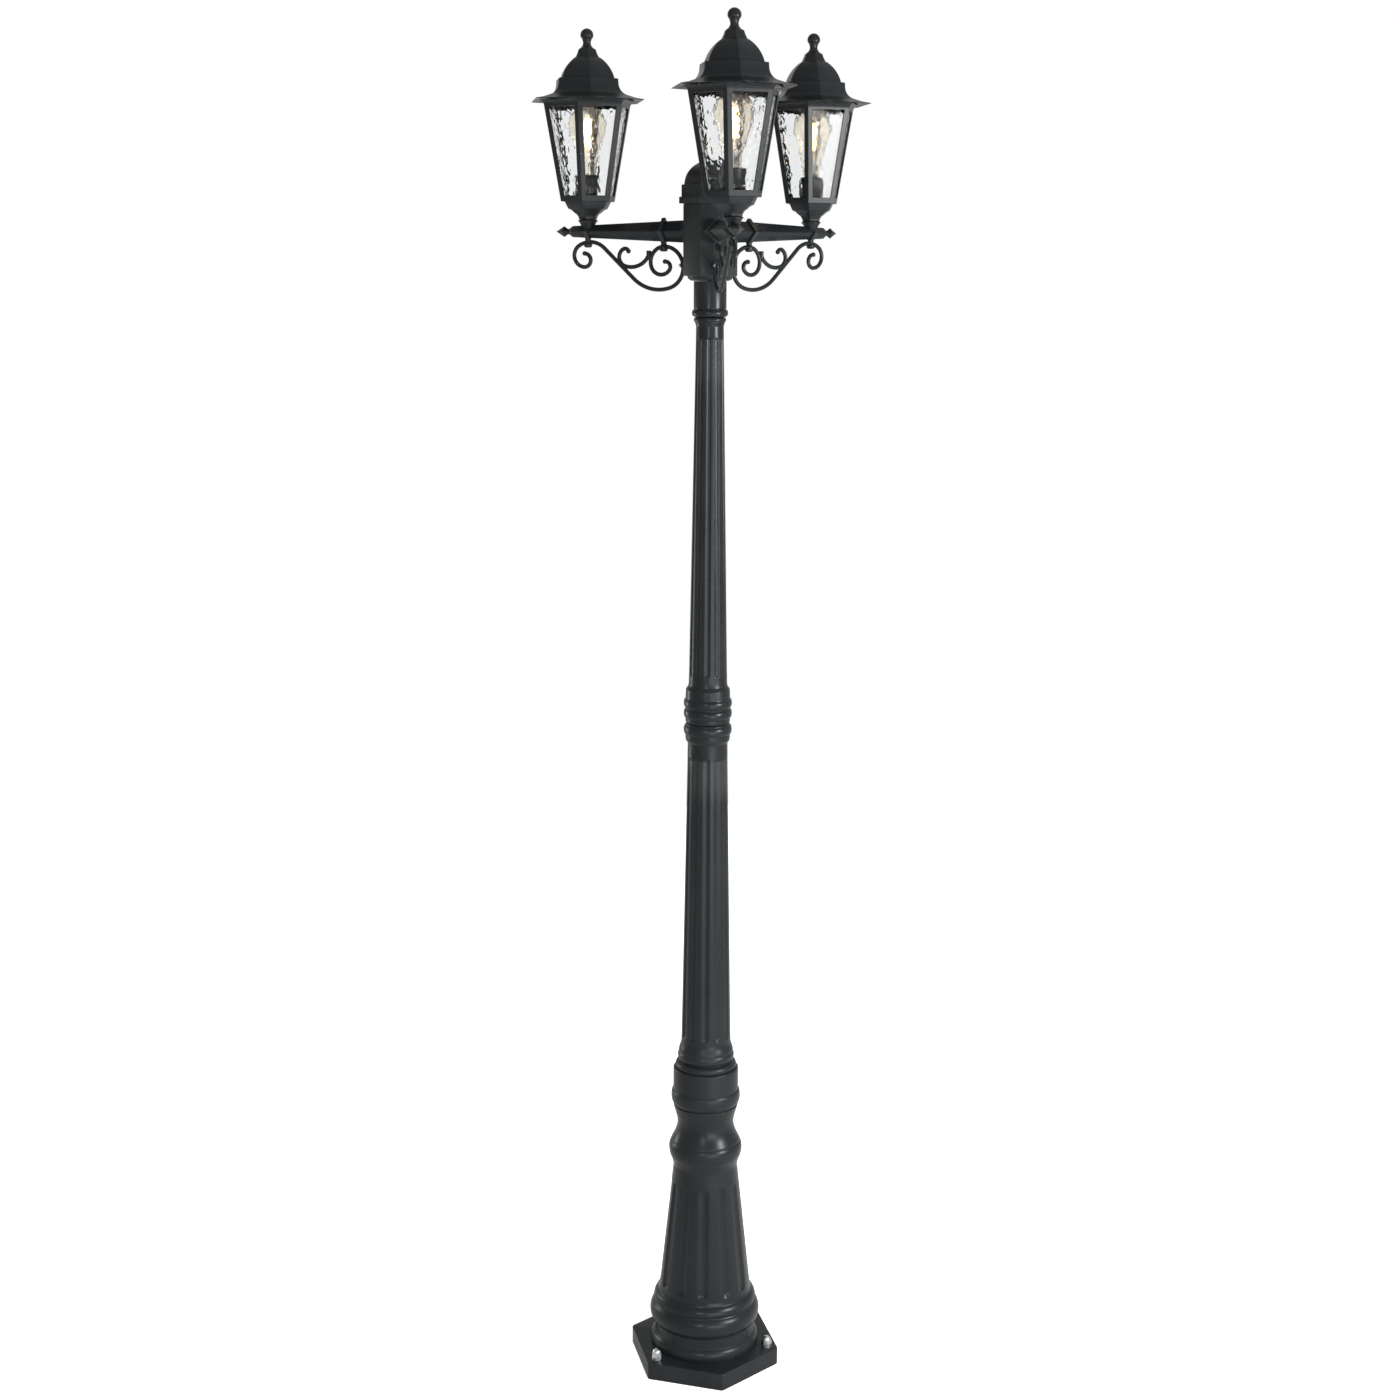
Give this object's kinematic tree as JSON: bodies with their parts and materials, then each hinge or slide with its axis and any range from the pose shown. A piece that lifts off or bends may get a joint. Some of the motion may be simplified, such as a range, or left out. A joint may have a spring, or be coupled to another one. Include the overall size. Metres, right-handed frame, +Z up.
{
  "type": "lamp post",
  "caption": "Fluted garden lamp post on a hexagonal foot, with scrolled arms that carry glazed hexagonal lanterns with domed roofs.",
  "frame": {"origin": "centre of the foot at ground level, on the post's axis", "axes": "+Z up along the post, -Y towards the front arm, +X to the right seen from the front"},
  "size_m": [0.5742, 0.55, 2.4],
  "materials": {
    "castings": "satin black-grey paint on cast aluminium",
    "fixings": "bright zinc plated",
    "tubes": "galvanised",
    "black_insulation": "matt black",
    "rubber": "matt black",
    "terminal": "glazed cream",
    "pane_glass": "hammered clear glass",
    "bulb_glass": "clear warm glass",
    "bulb_cap": "bright rolled brass"
  },
  "bodies": {
    "post": {"base_plate": "castings", "cable_bush": "rubber", "column_bolts": "fixings", "anchor_washers": "fixings", "anchor_nuts": "fixings", "base_terminal": "black_insulation", "base_column": "castings", "neck_collar": "castings", "lower_spigot": "tubes", "lower_shaft": "castings", "mid_spigot": "tubes", "upper_shaft": "castings", "top_socket": "castings", "grub_screws": "fixings", "post_cable": "black_insulation", "head_housing": "castings", "head_nut": "fixings", "head_terminal": "terminal", "lid_gasket": "rubber", "head_lid": "castings", "arm_nuts": "fixings", "arm_leads": "black_insulation", "scroll_screws": "fixings", "lamp_nipples": "tubes", "arm_front": "castings", "arm_tip_front": "castings", "straps_front": "castings", "scroll_front": "castings", "cup_front": "castings", "frame_front": "castings", "panes_front": "pane_glass", "lampholder_front": "black_insulation", "arm_right": "castings", "arm_tip_right": "castings", "straps_right": "castings", "scroll_right": "castings", "cup_right": "castings", "frame_right": "castings", "panes_right": "pane_glass", "lampholder_right": "black_insulation", "arm_left": "castings", "arm_tip_left": "castings", "straps_left": "castings", "scroll_left": "castings", "cup_left": "castings", "frame_left": "castings", "panes_left": "pane_glass", "lampholder_left": "black_insulation"},
    "lid_of_front_lantern": {"roof_front": "castings", "finial_front": "castings"},
    "lamp_front": {"bulb_glass_front": "bulb_glass", "bulb_cap_front": "bulb_cap"},
    "lid_of_right_lantern": {"roof_right": "castings", "finial_right": "castings"},
    "lamp_right": {"bulb_glass_right": "bulb_glass", "bulb_cap_right": "bulb_cap"},
    "lid_of_left_lantern": {"roof_left": "castings", "finial_left": "castings"},
    "lamp_left": {"bulb_glass_left": "bulb_glass", "bulb_cap_left": "bulb_cap"}
  },
  "joints": [
    {"name": "lift_front_roof", "type": "slide", "parent": "post", "child": "lid_of_front_lantern", "axis": [0, 0, 1], "range_m": [0, 0.12]},
    {"name": "lift_right_roof", "type": "slide", "parent": "post", "child": "lid_of_right_lantern", "axis": [0, 0, 1], "range_m": [0, 0.12]},
    {"name": "lift_left_roof", "type": "slide", "parent": "post", "child": "lid_of_left_lantern", "axis": [0, 0, 1], "range_m": [0, 0.12]},
    {"name": "draw_front_bulb", "type": "slide", "parent": "post", "child": "lamp_front", "axis": [0, 0, 1], "range_m": [0, 0.03]},
    {"name": "draw_right_bulb", "type": "slide", "parent": "post", "child": "lamp_right", "axis": [0, 0, 1], "range_m": [0, 0.03]},
    {"name": "draw_left_bulb", "type": "slide", "parent": "post", "child": "lamp_left", "axis": [0, 0, 1], "range_m": [0, 0.03]}
  ]
}
